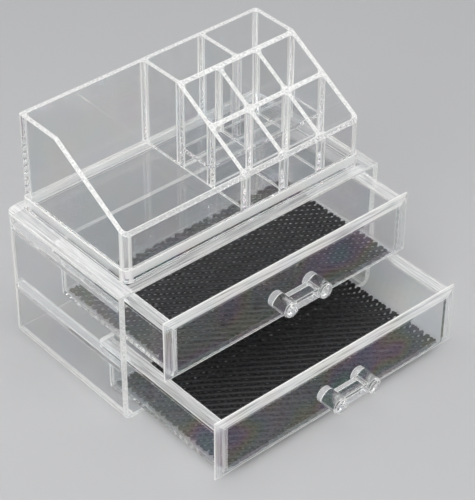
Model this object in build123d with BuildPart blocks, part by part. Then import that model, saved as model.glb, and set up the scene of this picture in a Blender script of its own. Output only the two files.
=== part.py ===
from build123d import *
import os
from math import cos, radians, sin

os.makedirs("parts", exist_ok=True)

# Clear vanity organiser: a low chest with two drawers and a lift-off tray.
# +Z is up, the drawers open towards -Y, and the origin is under the middle
# of the chest, on the surface that it stands on. All sizes are millimetres.

# Chest, one moulding that is open at the front
chest_width = 238.0
chest_depth = 129.0
chest_height = 110.5
side_wall = 4.5
back_wall = 3.0
chest_floor = 3.5
chest_top = 2.0
plan_corner = 8.0
lower_edge_radius = 8.0
lower_inner_radius = 4.5
top_edge_radius = 1.0

# Ribs inside the chest that carry the drawers by their rims
rib_thickness = 4.4
rib_root = 1.0
rib_front_gap = 0.8
rim_bearing = 3.8
running_gap = 0.3

# Drawer fronts, bevelled plates that close flush with the chest's front
front_side_gap = 3.0
front_top_gap = 0.4
front_between_gap = 2.2
front_bottom_gap = 2.0
front_back_thickness = 1.2
front_bevel_depth = 1.8
front_bevel_width = 8.2

# Drawer boxes, each with sides, back and floor in one moulding
box_wall = 3.2
box_floor = 2.6
box_floor_drop = 0.6
box_back_gap = 1.6
box_back_corner = 5.0
box_edge_radius = 2.0
rim_overhang = 7.1
rim_side_gap = 0.2
rim_thickness = 2.6
rim_drop = 6.0

# Drawer handles, two domed posts joined by a bar that stands off the front
handle_drop = 2.3
post_length = 19.5
post_diameter = 12.5
post_spacing = 31.5
post_dome = 2.5
post_dome_steps = 3
bar_gap = 5.0
bar_reach = 15.8
bar_height = 8.4

# Drawer liners, loose nets of flat strands
liner_lift = 0.3
liner_thickness = 0.8
liner_margin = 1.0
liner_pitch = 13.0
liner_strand = 3.0

# Glue line between bonded pieces, and the air under the tray
bond_gap = 0.05

# How far each drawer stands open
upper_opening = 39.3
lower_opening = 90.6

# Tray, one moulding with nine cells on a hollow plinth
tray_width = 213.4
tray_depth = 112.9
tray_height = 79.5
tray_front_inset = 7.8
tray_wall = 3.4
tray_divider = 3.0
tray_floor = 2.6
tray_corner = 6.0
tray_back_corner = 2.0
cell_corner = 3.0
plinth_height = 10.6
plinth_ledge = 0.9
tray_front_height = 38.2
front_row_depth = 33.2
middle_row_depth = 30.0
middle_row_rise = 16.0
back_row_cells = 2
small_row_cells = 3

# Places that follow from the sizes above
chest_front = -chest_depth / 2
chest_back = chest_depth / 2
chest_half = chest_width / 2
front_stack = chest_height - chest_top - chest_floor
front_height = (front_stack - front_top_gap - front_between_gap - front_bottom_gap) / 2
plate_thickness = front_back_thickness + front_bevel_depth
front_thickness = plate_thickness + bond_gap
front_half = chest_half - side_wall - front_side_gap
lower_base = chest_floor + front_bottom_gap
upper_base = lower_base + front_height + front_between_gap

# Heights in a drawer, above its front's lower edge
rim_top = front_height - rim_drop
rim_underside = rim_top - rim_thickness
rib_top = rim_underside - running_gap
cavity_base = box_floor - box_floor_drop

# Plan sizes of a drawer box
box_length = chest_depth - back_wall - front_thickness - box_back_gap
rim_half = front_half - rim_side_gap
box_half = rim_half - rim_overhang
cavity_half = box_half - box_wall
rib_reach = front_side_gap + rim_side_gap + rim_bearing


def front_view(half_width, base, top, lower_radius, upper_radius):
    """Face of the chest seen from the front, with its corners rounded."""
    with BuildSketch() as outline:
        with Locations((0, (base + top) / 2)):
            Rectangle(2 * half_width, top - base)
        corners = outline.vertices().group_by(Axis.Y)
        fillet(corners[0], lower_radius)
        if upper_radius > 0:
            fillet(outline.vertices().group_by(Axis.Y)[-1], upper_radius)
    return outline.sketch


def open_plan(half_width, front, back, corner):
    """Plan that is square at its front and has two rounded back corners."""
    with BuildSketch() as outline:
        with Locations((0, (front + back) / 2)):
            Rectangle(2 * half_width, back - front)
        fillet(outline.vertices().group_by(Axis.Y)[-1], corner)
    return outline.sketch


# Chest shell: a rounded block, hollowed from the front, with its four ribs
with BuildPart() as chest_room:
    with BuildSketch(Plane.XZ.offset(-chest_back + back_wall)):
        add(front_view(chest_half - side_wall, chest_floor, chest_height - chest_top, lower_inner_radius, 0))
    extrude(amount=chest_depth - back_wall)
    with BuildSketch():
        add(open_plan(chest_half - side_wall, chest_front, chest_back - back_wall, plan_corner - side_wall))
    extrude(amount=chest_height, mode=Mode.INTERSECT)

with BuildPart() as chest_shell:
    with BuildSketch(Plane.XZ.offset(-chest_back)):
        add(front_view(chest_half, 0, chest_height, lower_edge_radius, top_edge_radius))
    extrude(amount=chest_depth)
    with BuildSketch():
        add(open_plan(chest_half, chest_front, chest_back, plan_corner))
    extrude(amount=chest_height, mode=Mode.INTERSECT)
    add(chest_room.part, mode=Mode.SUBTRACT)
    rib_nose = rib_thickness / 2
    rib_front = chest_front + front_thickness + rib_front_gap + rib_nose
    rib_length = chest_back - back_wall + rib_root - rib_front
    for front_base in (lower_base, upper_base):
        rib_middle = front_base + rib_top - rib_thickness / 2
        for side in (-1, 1):
            with BuildSketch(Plane.YZ.offset(side * (chest_half - side_wall + rib_root))):
                with Locations((rib_front + rib_length / 2, rib_middle)):
                    Rectangle(rib_length, rib_thickness)
                with Locations((rib_front, rib_middle)):
                    Circle(rib_nose)
            extrude(amount=-side * (rib_reach + rib_root))
chest_shell.part.label = "chest_shell"
export_step(chest_shell.part, "parts/chest_shell.step")


def drawer_box(plate_back, base):
    """Open-fronted box with a rim along both sides, behind its front plate."""
    box_back = plate_back + box_length
    with BuildPart() as room:
        with BuildSketch(Plane.XY.offset(base + cavity_base)):
            add(open_plan(cavity_half, plate_back, box_back - box_wall, box_back_corner - box_wall / 2))
        extrude(amount=rim_top)
        floor_edges = room.faces().sort_by(Axis.Z)[0].edges().sort_by(Axis.Y)[1:]
        fillet(floor_edges, box_edge_radius)
    with BuildPart() as box:
        with BuildSketch(Plane.XY.offset(base - box_floor_drop)):
            add(open_plan(box_half, plate_back, box_back, box_back_corner))
        extrude(amount=box_floor_drop + rim_top)
        fillet(box.faces().sort_by(Axis.Z)[0].edges().sort_by(Axis.Y)[1:], box_edge_radius)
        with BuildSketch(Plane.XY.offset(base + rim_underside)):
            add(open_plan(rim_half, plate_back, box_back, box_back_corner))
        extrude(amount=rim_thickness)
        add(room.part, mode=Mode.SUBTRACT)
    return box.part


def drawer_front(face, base):
    """Plate with a wide flat bevel all round its front."""
    middle = base + front_height / 2
    with BuildPart() as plate:
        with BuildSketch(Plane.XZ.offset(-face - plate_thickness)):
            with Locations((0, middle)):
                Rectangle(2 * front_half, front_height)
        extrude(amount=front_back_thickness)
        with BuildSketch(Plane.XZ.offset(-face - front_bevel_depth)):
            with Locations((0, middle)):
                Rectangle(2 * front_half, front_height)
        with BuildSketch(Plane.XZ.offset(-face)):
            with Locations((0, middle)):
                Rectangle(2 * (front_half - front_bevel_width), front_height - 2 * front_bevel_width)
        loft(ruled=True)
    return plate.part


def drawer_handle(face, base):
    """Two domed posts that stand out of the front, with a bar between them."""
    middle = base + front_height / 2 - handle_drop
    post_radius = post_diameter / 2
    bar_end = post_radius / 2
    turns = [radians(90 * step / post_dome_steps) for step in range(post_dome_steps + 1)]
    dome = [(post_radius * cos(turn), post_dome - post_length - post_dome * sin(turn)) for turn in turns[:-1]]
    dome.append((0, -post_length))
    with BuildPart() as handle:
        for side in (-1, 1):
            post_root = Plane((side * post_spacing / 2, face, middle), x_dir=(1, 0, 0), z_dir=(0, 0, 1))
            with BuildSketch(post_root):
                with BuildLine():
                    Polyline((0, 0), (post_radius, 0), *dome, close=True)
                make_face()
            revolve(axis=Axis((side * post_spacing / 2, face, middle), (0, 1, 0)))
        with BuildSketch(Plane.XZ.offset(bar_gap - face)):
            with Locations((0, middle)):
                Rectangle(post_spacing - 2 * bar_end, bar_height)
        extrude(amount=bar_reach - bar_gap)
    return handle.part


def drawer_liner(plate_back, base):
    """Flat net of crossing strands, a little smaller than the drawer's floor."""
    net_half = cavity_half - box_edge_radius - liner_margin
    net_front = plate_back + liner_margin
    net_back = plate_back + box_length - box_wall - box_edge_radius - liner_margin
    net_middle = (net_front + net_back) / 2
    columns = int((2 * net_half - liner_strand) / liner_pitch)
    rows = int((net_back - net_front - liner_strand) / liner_pitch)
    gap_side = liner_pitch / 2 ** 0.5 - liner_strand
    with BuildPart() as net:
        with BuildSketch(Plane.XY.offset(base + cavity_base + liner_lift)):
            with Locations((0, net_middle)):
                Rectangle(2 * net_half, net_back - net_front)
                with GridLocations(liner_pitch, liner_pitch, columns, rows):
                    Rectangle(gap_side, gap_side, rotation=45, mode=Mode.SUBTRACT)
                with GridLocations(liner_pitch, liner_pitch, columns - 1, rows - 1):
                    Rectangle(gap_side, gap_side, rotation=45, mode=Mode.SUBTRACT)
        extrude(amount=liner_thickness)
    return net.part


# Drawers: each has a box, a front, a handle and a liner, all in one place
drawers = {"upper": (upper_opening, upper_base), "lower": (lower_opening, lower_base)}
for name, (opening, base) in drawers.items():
    face = chest_front - opening
    plate_back = face + front_thickness
    pieces = {
        "box": drawer_box(plate_back, base),
        "front": drawer_front(face, base),
        "handle": drawer_handle(face - bond_gap, base),
        "liner": drawer_liner(plate_back, base),
    }
    for piece_name, piece in pieces.items():
        piece.label = f"{name}_drawer_{piece_name}"
        export_step(piece, f"parts/{piece.label}.step")


# Tray: a rounded block on its plinth, cut to the slope and hollowed cell by cell
tray_front = chest_front + tray_front_inset
tray_back = tray_front + tray_depth
tray_middle = (tray_front + tray_back) / 2
tray_base = chest_height + bond_gap
cell_floor = tray_base + plinth_height
raised_floor = cell_floor + middle_row_rise
tray_rim = tray_base + tray_height
cell_left = -tray_width / 2 + tray_wall
cell_right = tray_width / 2 - tray_wall
front_row = tray_front + tray_wall
middle_row = front_row + front_row_depth + tray_divider
slope_top = middle_row + middle_row_depth + tray_divider
back_edge = tray_back - tray_wall


def row_cells(first, last, count):
    """Left and right ends of evenly spaced cells between two walls."""
    width = (last - first - (count - 1) * tray_divider) / count
    return [(first + i * (width + tray_divider), first + i * (width + tray_divider) + width) for i in range(count)]


def tray_plan(ledge):
    """Outline of the tray, a ledge wider than its walls, with sharper corners at its back."""
    with BuildSketch() as outline:
        with Locations((0, tray_middle)):
            Rectangle(tray_width + 2 * ledge, tray_depth + 2 * ledge)
        fillet(outline.vertices().group_by(Axis.Y)[0], tray_corner + ledge)
        fillet(outline.vertices().group_by(Axis.Y)[-1], tray_back_corner + ledge)
    return outline.sketch


half_left = tray_divider / 2
cells = [(cell_left, -half_left, front_row, back_edge, cell_floor)]
for left, right in row_cells(half_left, cell_right, small_row_cells):
    cells.append((left, right, front_row, middle_row - tray_divider, cell_floor))
    cells.append((left, right, middle_row, slope_top - tray_divider, raised_floor))
for left, right in row_cells(half_left, cell_right, back_row_cells):
    cells.append((left, right, slope_top, back_edge, cell_floor))

with BuildPart() as tray:
    with BuildSketch(Plane.XY.offset(tray_base)):
        add(tray_plan(plinth_ledge))
    extrude(amount=plinth_height)
    with BuildSketch(Plane.XY.offset(cell_floor)):
        add(tray_plan(0))
    extrude(amount=tray_height - plinth_height)
    with BuildSketch(Plane.YZ):
        with BuildLine():
            Polyline(
                (tray_front, tray_base + tray_front_height),
                (slope_top, tray_rim),
                (slope_top, tray_rim + tray_wall),
                (tray_front, tray_rim + tray_wall),
                close=True,
            )
        make_face()
    extrude(amount=tray_width, both=True, mode=Mode.SUBTRACT)
    for left, right, near, far, floor in cells:
        with BuildSketch(Plane.XY.offset(floor)):
            with Locations(((left + right) / 2, (near + far) / 2)):
                RectangleRounded(right - left, far - near, cell_corner)
        extrude(amount=tray_height, mode=Mode.SUBTRACT)
    with BuildSketch(Plane.XY.offset(tray_base)):
        with Locations((0, tray_middle)):
            RectangleRounded(tray_width - 2 * tray_wall, tray_depth - 2 * tray_wall, cell_corner)
    extrude(amount=plinth_height - tray_floor, mode=Mode.SUBTRACT)
    raised_width = cell_right - half_left
    with BuildSketch(Plane.XY.offset(tray_base)):
        with Locations(((half_left + cell_right) / 2, middle_row + middle_row_depth / 2)):
            RectangleRounded(raised_width, middle_row_depth, cell_corner)
    extrude(amount=plinth_height + middle_row_rise - tray_floor, mode=Mode.SUBTRACT)
tray.part.label = "tray"
export_step(tray.part, "parts/tray.step")
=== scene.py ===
import math

import bmesh
import bpy
from mathutils import Matrix, Vector


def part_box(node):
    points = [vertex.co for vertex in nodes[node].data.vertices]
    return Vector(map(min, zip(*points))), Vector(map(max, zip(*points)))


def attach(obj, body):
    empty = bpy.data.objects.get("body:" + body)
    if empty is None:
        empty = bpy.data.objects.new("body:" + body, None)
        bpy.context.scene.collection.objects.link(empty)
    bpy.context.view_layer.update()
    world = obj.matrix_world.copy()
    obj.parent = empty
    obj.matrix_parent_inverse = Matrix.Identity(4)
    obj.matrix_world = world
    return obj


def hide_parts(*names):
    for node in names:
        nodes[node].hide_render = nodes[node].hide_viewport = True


# Clear vanity organiser on a plain pale floor. Every length is in metres.

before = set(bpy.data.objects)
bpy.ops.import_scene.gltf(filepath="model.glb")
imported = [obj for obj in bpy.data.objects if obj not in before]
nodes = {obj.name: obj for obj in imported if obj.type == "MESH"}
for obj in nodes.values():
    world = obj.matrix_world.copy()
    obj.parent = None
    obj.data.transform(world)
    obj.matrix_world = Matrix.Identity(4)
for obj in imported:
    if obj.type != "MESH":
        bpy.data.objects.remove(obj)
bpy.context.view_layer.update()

# Camera, solved from the straight edges of the photograph
CAMERA_PLACE = Vector((-0.7055, -0.8519, 0.9150))
CAMERA_TURN = math.radians(41.203)
CAMERA_DIP = math.radians(38.042)
CAMERA_ROLL = math.radians(0.352)
CAMERA_LENS = 146.0
CAMERA_SENSOR = 36.0
CAMERA_SHIFT = (0.0018, 0.0069)

# Softboxes that all aim at one point: name, place, width, height and power in watts
LAMP_AIM = (0, 0, 0.08)
LAMPS = (
    ("key", (-1.6, -0.5, 1.3), 0.8, 0.8, 19),
    ("top", (-0.3, 0.2, 2.0), 1.6, 1.2, 10),
    ("front", (0.7, -1.7, 1.0), 0.9, 0.6, 9),
)

# Studio air at the horizon and overhead, and the floor
AIR_LOW = (0.27, 0.27, 0.275, 1)
AIR_HIGH = (0.62, 0.63, 0.64, 1)
FLOOR_HALF = 30.0
FLOOR_LEVEL = -0.0004
FLOOR_COLOUR = (0.50, 0.50, 0.505, 1)
FLOOR_ROUGHNESS = 0.7

# Clear acrylic. Walls dim what is behind them a little. Edges are satin (rougher and less
# clear) and get a pale painted highlight, standing in for the light the clear walls lead out
# at their edges.
ACRYLIC_IOR = 1.49
COOL_TINT = (0.880, 0.905, 0.925, 1)
WARM_TINT = (0.920, 0.905, 0.895, 1)
# Pale colour painted on edges and rims as highlight
EDGE_HIGHLIGHT_TINT = (0.90, 0.895, 0.875, 1)
WALL_GLOSS = (0.0, 0.03)
EDGE_GLOSS = 0.25
EDGE_CLEARNESS = 0.1
WAVE_STRENGTH = 0.02
WAVE_HEIGHT = 0.001

# Colour of light that passes straight through, towards a lamp or at a bonded root
SHADOW_TINT = (0.92, 0.92, 0.92, 1)
ROOT_TINT = (0.60, 0.60, 0.62, 1)

# Painted highlight line along every sharp edge: its width, the agreement of a softened face
# with the real one below which the line starts, and its share of painted highlight
ARRIS_WIDTH = 0.0010
ARRIS_SAMPLES = 4
ARRIS_TURN = 0.99
ARRIS_SHARE = 0.95

# Faint colours of stress in the walls, drawn as a thin film (in nanometres)
STRESS_RANGE = (100.0, 900.0)
STRESS_IOR = 1.38

# Light is led a long way inside the clear walls before it comes out at their edges
LIGHT_BOUNCES = 128

# Each noise in the acrylic: its scale, in repeats per metre, and its detail
TINT_NOISE = (30.0, 1.0)
GLOSS_NOISE = (14.0, 3.0)
WAVE_NOISE = (22.0, 1.0)
MOTTLE_NOISE = (700.0, 2.0)
STREAK_NOISE = (900.0, 2.0)

# How far the streaks are drawn out, and the shares that the two fine noises give
STREAK_STRETCH = 30.0
STREAK_RANGE = (-0.2, 1.7)
MOTTLE_RANGE = (0.1, 1.5)

# How much of a face's direction lies along an axis, by which the faces are told apart
SQUARE = 0.9
LONGWAYS = 0.7
MOSTLY = 0.5
UPWARD = 0.35
UPRIGHT = 0.3
DOMED = 0.3
SLANTED = 0.1
FULLY_FORWARD = 0.995

# Product of two such parts from which a face is round, and is in the middle of its round
ROUND_START = 0.03
ROUND_MIDDLE = 0.36
ROUND_MIDDLE_SHARE = 0.3

# How near to the end of its box a face still lies on that end
SKIN = 0.0005

# Chest: front frame, top, ledge, foot, and the share of painted highlight on each kind of its
# edges
FRAME_SKIN = 0.0003
TOP_SKIN = 0.0012
TOP_WALL = 0.0040
BEHIND_TRAY = 0.0010
FOOT_HEIGHT = 0.02
FRAME_SHARES = (0.3, 1.0)
CHEST_LEDGE_SHARES = (0.6, 1.0)
CHEST_CORNER_SHARE = 0.9
FOOT_SHARE = 0.85
RIB_SHARE = 0.2

# Tray: fall of its sloped rim, where that ends at the back, its front rim and its plinth,
# with the height above which the plinth's sides get painted glow and the shares of painted
# highlight
SLOPE_BACK = 0.0735
SLOPE_FALL = 0.0413 / 0.0726
FRONT_RIM_DEPTH = 0.0044
PLINTH_TOP = 0.0108
PLINTH_LEDGE = 0.0010
PLINTH_GLOW = 0.0042
RIM_SHARES = (1.0, 0.35)
TRAY_LEDGE_SHARE = 0.9
PLINTH_LONG_SHARE = 0.8
PLINTH_SHARE = 0.35
TRAY_CORNER_SHARE = 0.75

# Drawer boxes: the depth of the back wall's top, and the shares of painted highlight
BOX_BACK_WALL = 0.0034
BOX_BACK_SHARE = 0.85
BOX_TOP_SHARE = 0.6
BOX_CORNER_SHARE = 0.8

# Front plates: the part of the upper bevel with painted glow, down from the plate's top, and
# the shares of painted highlight
BEVEL_GLOW = 0.0070
BEVEL_GLOW_SHARE = 1.15
BEVEL_END_SHARE = 0.5
BEVEL_SHARE = 0.15

# Handles: the shares of painted highlight on the posts' roots and on their domed ends
ROOT_SHARE = 0.1
DOME_SHARE = 0.08

# Liner: two families of flat strands, each with its turn, pitch, width and thickness
NET_FAMILIES = (
    (-35.4, 0.0052, 0.0036, 0.0013),
    (33.0, 0.0039, 0.0025, 0.0007),
)
STRAND_SECTION = (
    (-1.0, 0.0),
    (-0.85, 0.55),
    (-0.4, 0.95),
    (0.0, 1.0),
    (0.4, 0.95),
    (0.85, 0.55),
    (1.0, 0.0),
)
NET_STEP = 0.006

# How high the net ripples, its two waves in radians per metre of x and of y, and how far
# and how high its right edge turns up
NET_RIPPLE = 0.0005
NET_WAVES = ((52, 31), (-23, 59))
NET_CURL_REACH = 0.009
NET_CURLS = {"upper": 0.0006, "lower": 0.0022}

# The net's black foam, with the scale and the detail of each noise
NET_DARK = (0.006, 0.006, 0.007, 1)
NET_WORN = (0.020, 0.020, 0.021, 1)
NET_ROUGHNESS = 0.42
NET_COLOUR_NOISE = (900.0, 2.0)
NET_GRAIN_NOISE = (1800.0, 2.0)
NET_GRAIN_STRENGTH = 0.4
NET_GRAIN_HEIGHT = 0.0003


class Graph:
    """Short hand for the nodes of one material."""

    def __init__(self, name):
        self.material = bpy.data.materials.new(name)
        self.material.use_nodes = True
        self.tree = self.material.node_tree
        self.tree.nodes.clear()
        self.output = self.node("OutputMaterial")

    def node(self, kind, **settings):
        made = self.tree.nodes.new("ShaderNode" + kind)
        for key, value in settings.items():
            setattr(made, key, value)
        return made

    def feed(self, socket, value):
        """Links a socket to another one, or sets it to a plain value."""
        if isinstance(value, bpy.types.NodeSocket):
            self.tree.links.new(value, socket)
        else:
            socket.default_value = value

    def math(self, operation, first, second=0.0):
        made = self.node("Math", operation=operation)
        self.feed(made.inputs[0], first)
        self.feed(made.inputs[1], second)
        return made.outputs[0]

    def above(self, value, limit):
        return self.math("GREATER_THAN", value, limit)

    def below(self, value, limit):
        return self.math("LESS_THAN", value, limit)

    def size(self, value):
        return self.math("ABSOLUTE", value)

    def all_of(self, *shares):
        """The product of some shares, so 1 only where all of them are."""
        result = shares[0]
        for share in shares[1:]:
            result = self.math("MULTIPLY", result, share)
        return result

    def most_of(self, *shares):
        """The largest of some shares."""
        result = shares[0]
        for share in shares[1:]:
            result = self.math("MAXIMUM", result, share)
        return result

    def between(self, share, low, high):
        """A value that runs from low to high as share runs from 0 to 1."""
        made = self.node("MapRange")
        self.feed(made.inputs["Value"], share)
        self.feed(made.inputs["To Min"], low)
        self.feed(made.inputs["To Max"], high)
        return made.outputs["Result"]

    def blend(self, share, first, second):
        """A colour that runs from first to second as share runs from 0 to 1."""
        made = self.node("Mix", data_type="RGBA")
        self.feed(made.inputs[0], share)
        self.feed(made.inputs[6], first)
        self.feed(made.inputs[7], second)
        return made.outputs[2]

    def noise(self, scale, detail, stretch=(1.0, 1.0, 1.0)):
        """Noise in the object's own space, drawn out along an axis by its stretch."""
        spot = self.node("VectorMath", operation="DIVIDE")
        self.feed(spot.inputs[0], self.node("TexCoord").outputs["Object"])
        spot.inputs[1].default_value = stretch
        made = self.node("TexNoise")
        self.feed(made.inputs["Vector"], spot.outputs[0])
        made.inputs["Scale"].default_value = scale
        made.inputs["Detail"].default_value = detail
        return made.outputs["Fac"]

    def bump(self, height, strength, distance):
        made = self.node("Bump")
        self.feed(made.inputs["Height"], height)
        made.inputs["Strength"].default_value = strength
        made.inputs["Distance"].default_value = distance
        return made.outputs["Normal"]

    def place(self):
        """The point's x, y and z in the object."""
        made = self.node("SeparateXYZ")
        self.feed(made.inputs[0], self.node("TexCoord").outputs["Object"])
        return made.outputs

    def facing(self):
        """The x, y and z of the face's own direction."""
        made = self.node("SeparateXYZ")
        self.feed(made.inputs[0], self.node("NewGeometry").outputs["True Normal"])
        return made.outputs

    def outside(self, low, high, margin):
        """1 beyond an upright block that is margin smaller than the box on every side."""
        place = self.place()
        return self.most_of(
            self.below(place[0], low[0] + margin),
            self.above(place[0], high[0] - margin),
            self.below(place[1], low[1] + margin),
            self.above(place[1], high[1] - margin),
        )


def arrises(g):
    """A narrow painted highlight line along every sharp edge."""
    softened = g.node("Bevel")
    softened.samples = ARRIS_SAMPLES
    softened.inputs["Radius"].default_value = ARRIS_WIDTH
    turn = g.node("VectorMath", operation="DOT_PRODUCT")
    g.feed(turn.inputs[0], softened.outputs[0])
    g.feed(turn.inputs[1], g.node("NewGeometry").outputs["Normal"])
    return g.below(turn.outputs["Value"], ARRIS_TURN)


def painted_glints(g):
    """Uneven painted glints along a moulded edge."""
    return g.between(g.noise(*MOTTLE_NOISE), *MOTTLE_RANGE)


def streaks(g, axis):
    """Fine lines along one axis, as of light led along an edge."""
    stretch = [1.0, 1.0, 1.0]
    stretch[axis] = STREAK_STRETCH
    return g.between(g.noise(*STREAK_NOISE, stretch), *STREAK_RANGE)


def round_lines(g, one, other):
    """A painted highlight line at each side of a rounded corner, and a fainter middle."""
    turned = g.all_of(g.size(one), g.size(other))
    middle = g.above(turned, ROUND_MIDDLE)
    return g.all_of(g.above(turned, ROUND_START), g.between(middle, 1.0, ROUND_MIDDLE_SHARE))


def chest_highlights(g, low, high):
    """Painted highlights on the chest's front frame, its ledge round the tray, its rounds and
    its ribs.
    """
    x, y, z = g.place()
    nx, ny, nz = g.facing()
    front = g.all_of(
        g.below(ny, -MOSTLY),
        g.below(y, low[1] + FRAME_SKIN),
        g.between(painted_glints(g), *FRAME_SHARES),
    )
    tray_low, tray_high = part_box("tray")
    beside = g.most_of(g.below(x, tray_low[0]), g.above(x, tray_high[0]))
    behind = g.above(y, tray_high[1] - BEHIND_TRAY)
    ledge = g.all_of(
        g.outside(tray_low, tray_high, 0.0),
        g.above(nz, MOSTLY),
        g.above(z, high[2] - TOP_SKIN),
        g.between(beside, streaks(g, 0), streaks(g, 1)),
        g.between(behind, *CHEST_LEDGE_SHARES),
    )
    corners = g.all_of(round_lines(g, nx, ny), CHEST_CORNER_SHARE)
    foot = g.all_of(round_lines(g, nx, nz), g.below(z, FOOT_HEIGHT), FOOT_SHARE)
    ribs = g.all_of(
        g.above(g.size(nz), SQUARE),
        g.below(z, high[2] - TOP_WALL),
        g.above(z, FOOT_HEIGHT),
        RIB_SHARE,
    )
    return g.most_of(front, ledge, corners, foot, ribs)


def tray_highlights(g, low, high):
    """Painted highlights on the tray's rim, level at the back and sloped in front, its plinth
    and its corners.
    """
    y, z = g.place()[1:]
    nx, ny, nz = g.facing()
    upward = g.above(nz, UPWARD)
    to_back = g.math("SUBTRACT", low[1] + SLOPE_BACK, y)
    drop = g.math("MAXIMUM", g.math("MULTIPLY", to_back, SLOPE_FALL), 0.0)
    rim = g.all_of(
        g.above(g.math("ADD", z, drop), high[2] - SKIN),
        upward,
        painted_glints(g),
        g.between(g.below(y, low[1] + FRONT_RIM_DEPTH), *RIM_SHARES),
    )
    in_plinth = g.below(z, low[2] + PLINTH_TOP)
    outer = g.outside(low, high, PLINTH_LEDGE)
    ledge = g.all_of(outer, upward, in_plinth, TRAY_LEDGE_SHARE)
    side = g.all_of(
        in_plinth,
        g.below(g.size(nz), UPRIGHT),
        g.above(z, low[2] + PLINTH_GLOW),
    )
    long_side = g.all_of(side, g.above(g.size(ny), LONGWAYS), PLINTH_LONG_SHARE)
    corners = g.all_of(round_lines(g, nx, ny), TRAY_CORNER_SHARE)
    return g.most_of(rim, ledge, long_side, g.all_of(side, PLINTH_SHARE), corners)


def box_highlights(g, low, high):
    """Painted highlights on the level tops of a drawer box's walls, brightest at its back,
    and on its back corners.
    """
    y, z = g.place()[1:]
    nx, ny, nz = g.facing()
    top = g.all_of(g.above(nz, SQUARE), g.above(z, high[2] - SKIN))
    back = g.all_of(top, g.above(y, high[1] - BOX_BACK_WALL), BOX_BACK_SHARE)
    sides = g.all_of(top, streaks(g, 1), BOX_TOP_SHARE)
    corners = g.above(g.all_of(g.size(nx), g.size(ny)), ROUND_START)
    return g.most_of(back, sides, g.all_of(corners, BOX_CORNER_SHARE))


def front_highlights(g, low, high):
    """Painted highlights on the narrow sides of a front plate and its upper bevel, and more
    faintly on the rest.
    """
    nx, ny, nz = g.facing()
    sides = g.below(g.size(ny), MOSTLY)
    bevels = g.all_of(g.below(ny, -MOSTLY), g.above(ny, -FULLY_FORWARD))
    in_glow = g.above(g.place()[2], high[2] - BEVEL_GLOW)
    upper = g.all_of(bevels, g.above(nz, SLANTED), in_glow, streaks(g, 0), BEVEL_GLOW_SHARE)
    ends = g.all_of(bevels, g.above(g.size(nx), SLANTED), streaks(g, 2), BEVEL_END_SHARE)
    return g.most_of(sides, upper, ends, g.all_of(bevels, BEVEL_SHARE))


def handle_highlights(g, low, high):
    """Painted highlights on the roots of the posts on the front plate, and faintly on their
    domed ends.
    """
    ny = g.facing()[1]
    roots = g.all_of(g.above(ny, MOSTLY), ROOT_SHARE)
    return g.most_of(roots, g.all_of(g.below(ny, -DOMED), DOME_SHARE))


def bonded_roots(g, high):
    """The posts' flat roots, bonded to the front plate with no air between."""
    return g.all_of(g.above(g.facing()[1], SQUARE), g.above(g.place()[1], high[1] - SKIN))


def clear_acrylic(name, find_highlights):
    """Clear moulded acrylic for one node; the finder says where a pale highlight is painted
    on its edges, which are rougher and less clear there too.
    """
    g = Graph(f"clear_{name}")
    low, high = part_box(name)
    # edge: the share of painted highlight, from the part's own finder and from the lines
    # along its sharp edges
    edge = g.most_of(find_highlights(g, low, high), g.all_of(arrises(g), ARRIS_SHARE))
    glass = g.node("BsdfPrincipled")
    wall_tint = g.blend(g.noise(*TINT_NOISE), COOL_TINT, WARM_TINT)
    g.feed(glass.inputs["Base Color"], g.blend(edge, wall_tint, EDGE_HIGHLIGHT_TINT))
    wall_gloss = g.between(g.noise(*GLOSS_NOISE), *WALL_GLOSS)
    g.feed(glass.inputs["Roughness"], g.between(edge, wall_gloss, EDGE_GLOSS))
    g.feed(glass.inputs["Transmission Weight"], g.between(edge, 1.0, EDGE_CLEARNESS))
    glass.inputs["IOR"].default_value = ACRYLIC_IOR
    waves = g.bump(g.noise(*WAVE_NOISE), WAVE_STRENGTH, WAVE_HEIGHT)
    g.feed(glass.inputs["Normal"], waves)
    opening = g.node("LightPath").outputs["Is Shadow Ray"]
    passed = SHADOW_TINT
    if name.endswith("handle"):
        root = bonded_roots(g, high)
        opening = g.most_of(opening, root)
        passed = g.blend(root, SHADOW_TINT, ROOT_TINT)
    else:
        upright = g.below(g.size(g.facing()[2]), MOSTLY)
        film = g.all_of(g.between(g.noise(*WAVE_NOISE), *STRESS_RANGE), upright)
        g.feed(glass.inputs["Thin Film Thickness"], film)
        glass.inputs["Thin Film IOR"].default_value = STRESS_IOR
    open_path = g.node("BsdfTransparent")
    g.feed(open_path.inputs["Color"], passed)
    mix = g.node("MixShader")
    g.feed(mix.inputs[0], opening)
    g.feed(mix.inputs[1], glass.outputs[0])
    g.feed(mix.inputs[2], open_path.outputs[0])
    g.feed(g.output.inputs["Surface"], mix.outputs[0])
    return g.material


def black_net():
    """Black foam of the liner's strands."""
    g = Graph("black_net")
    foam = g.node("BsdfPrincipled")
    colour = g.blend(g.noise(*NET_COLOUR_NOISE), NET_DARK, NET_WORN)
    g.feed(foam.inputs["Base Color"], colour)
    foam.inputs["Roughness"].default_value = NET_ROUGHNESS
    grain = g.bump(g.noise(*NET_GRAIN_NOISE), NET_GRAIN_STRENGTH, NET_GRAIN_HEIGHT)
    g.feed(foam.inputs["Normal"], grain)
    g.feed(g.output.inputs["Surface"], foam.outputs[0])
    return g.material


def dress_nodes():
    """Gives each moulded node its own clear material."""
    finders = {
        "shell": chest_highlights,
        "tray": tray_highlights,
        "box": box_highlights,
        "front": front_highlights,
        "handle": handle_highlights,
    }
    for name, node in nodes.items():
        finder = finders.get(name.split("_")[-1])
        if finder:
            node.data.materials.clear()
            node.data.materials.append(clear_acrylic(name, finder))


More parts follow.
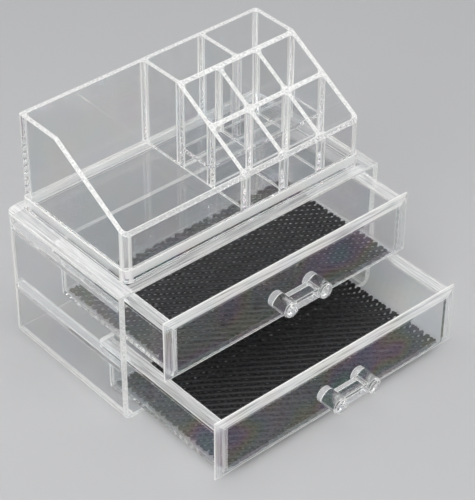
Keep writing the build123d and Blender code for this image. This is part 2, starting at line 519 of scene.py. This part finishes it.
def net_lift(spot, high, curl):
    """How far the soft net stands off its lowest level at one place."""
    waves = [math.sin(by_x * spot.x + by_y * spot.y) for by_x, by_y in NET_WAVES]
    ripple = (1 + math.prod(waves)) / 2
    edge = max(0.0, 1 - (high.x - spot.x) / NET_CURL_REACH)
    return NET_RIPPLE * ripple + curl * edge ** 2


def add_strand(bm, start, direction, width, thickness, low, high, curl):
    """One flat strand through start along direction, cut off at the liner's edge."""
    first, last = -1.0, 1.0
    for axis in (0, 1):
        near = (low[axis] - start[axis]) / direction[axis]
        far = (high[axis] - start[axis]) / direction[axis]
        first = max(first, min(near, far))
        last = min(last, max(near, far))
    if last - first < width:
        return
    side = Vector((-direction.y, direction.x)) * width / 2
    steps = max(1, round((last - first) / NET_STEP))
    rings = []
    for step in range(steps + 1):
        spot = start + direction * (first + (last - first) * step / steps)
        base = low.z + net_lift(spot, high, curl)
        ring = []
        for across, up in STRAND_SECTION:
            corner = spot + side * across
            ring.append(bm.verts.new((corner.x, corner.y, base + up * thickness)))
        rings.append(ring)
    for one, other in zip(rings, rings[1:]):
        for i in range(len(STRAND_SECTION)):
            j = (i + 1) % len(STRAND_SECTION)
            bm.faces.new((one[i], one[j], other[j], other[i]))
    bm.faces.new(rings[0][::-1])
    bm.faces.new(rings[-1])


def make_liner(drawer, material):
    """The loose net on one drawer's floor."""
    low, high = (Vector(corner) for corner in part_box(f"{drawer}_drawer_liner"))
    bm = bmesh.new()
    middle = ((low + high) / 2).xy
    reach = (high - low).xy.length / 2
    for turn, pitch, width, thickness in NET_FAMILIES:
        direction = Vector((math.cos(math.radians(turn)), math.sin(math.radians(turn))))
        across = Vector((-direction.y, direction.x))
        steps = int(reach / pitch) + 1
        for step in range(-steps, steps + 1):
            start = middle + across * (step * pitch)
            add_strand(bm, start, direction, width, thickness, low, high, NET_CURLS[drawer])
    bmesh.ops.recalc_face_normals(bm, faces=bm.faces)
    mesh = bpy.data.meshes.new(f"{drawer}_net")
    bm.to_mesh(mesh)
    bm.free()
    net = bpy.data.objects.new(f"{drawer}_net", mesh)
    bpy.context.scene.collection.objects.link(net)
    net.data.materials.append(material)
    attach(net, f"{drawer}_drawer")
    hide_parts(f"{drawer}_drawer_liner")


def make_floor():
    """Plain pale floor, a hair below the feet."""
    mesh = bpy.data.meshes.new("floor")
    half = FLOOR_HALF
    corners = [(-half, -half, 0), (half, -half, 0), (half, half, 0), (-half, half, 0)]
    mesh.from_pydata(corners, [], [(0, 1, 2, 3)])
    floor = bpy.data.objects.new("floor", mesh)
    floor.location.z = FLOOR_LEVEL
    bpy.context.scene.collection.objects.link(floor)
    g = Graph("pale_floor")
    matt = g.node("BsdfPrincipled")
    matt.inputs["Base Color"].default_value = FLOOR_COLOUR
    matt.inputs["Roughness"].default_value = FLOOR_ROUGHNESS
    g.feed(g.output.inputs["Surface"], matt.outputs[0])
    floor.data.materials.append(g.material)


def make_world():
    """Soft studio air, brighter overhead than at the sides."""
    world = bpy.data.worlds.new("studio")
    bpy.context.scene.world = world
    world.use_nodes = True
    tree = world.node_tree
    tree.nodes.clear()
    output = tree.nodes.new("ShaderNodeOutputWorld")
    air = tree.nodes.new("ShaderNodeBackground")
    air.inputs["Strength"].default_value = 1.0
    place = tree.nodes.new("ShaderNodeTexCoord")
    split = tree.nodes.new("ShaderNodeSeparateXYZ")
    ramp = tree.nodes.new("ShaderNodeValToRGB")
    for stop, at, colour in zip(ramp.color_ramp.elements, (0.0, 1.0), (AIR_LOW, AIR_HIGH)):
        stop.position = at
        stop.color = colour
    tree.links.new(place.outputs["Generated"], split.inputs[0])
    tree.links.new(split.outputs[2], ramp.inputs[0])
    tree.links.new(ramp.outputs[0], air.inputs["Color"])
    tree.links.new(air.outputs[0], output.inputs["Surface"])


def make_lamp(name, place, width, height, power):
    """One rectangular softbox."""
    data = bpy.data.lights.new(name, "AREA")
    data.shape = "RECTANGLE"
    data.size = width
    data.size_y = height
    data.energy = power
    lamp = bpy.data.objects.new(name, data)
    lamp.location = place
    aim = Vector(LAMP_AIM) - Vector(place)
    lamp.rotation_euler = aim.to_track_quat("-Z", "Y").to_euler()
    bpy.context.scene.collection.objects.link(lamp)


def make_camera():
    """Camera at the photograph's place, aim and lens."""
    data = bpy.data.cameras.new("camera")
    data.sensor_fit = "HORIZONTAL"
    data.sensor_width = CAMERA_SENSOR
    data.lens = CAMERA_LENS
    data.shift_x, data.shift_y = CAMERA_SHIFT
    camera = bpy.data.objects.new("camera", data)
    across, along = math.cos(CAMERA_TURN), math.sin(CAMERA_TURN)
    level = math.cos(CAMERA_DIP)
    ahead = Vector((along * level, across * level, -math.sin(CAMERA_DIP)))
    right = Vector((across, -along, 0))
    up = right.cross(ahead)
    rolled_right = math.cos(CAMERA_ROLL) * right + math.sin(CAMERA_ROLL) * up
    rolled_up = math.cos(CAMERA_ROLL) * up - math.sin(CAMERA_ROLL) * right
    aim = Matrix((rolled_right, rolled_up, -ahead)).transposed().to_4x4()
    camera.matrix_world = Matrix.Translation(CAMERA_PLACE) @ aim
    bpy.context.scene.collection.objects.link(camera)
    bpy.context.scene.camera = camera


dress_nodes()
net_material = black_net()
for drawer in NET_CURLS:
    make_liner(drawer, net_material)
make_floor()
make_world()
for lamp in LAMPS:
    make_lamp(*lamp)
make_camera()

scene = bpy.context.scene
scene.view_settings.view_transform = "Standard"
scene.cycles.max_bounces = LIGHT_BOUNCES
scene.cycles.transmission_bounces = LIGHT_BOUNCES
scene.cycles.glossy_bounces = LIGHT_BOUNCES
scene.cycles.transparent_max_bounces = LIGHT_BOUNCES
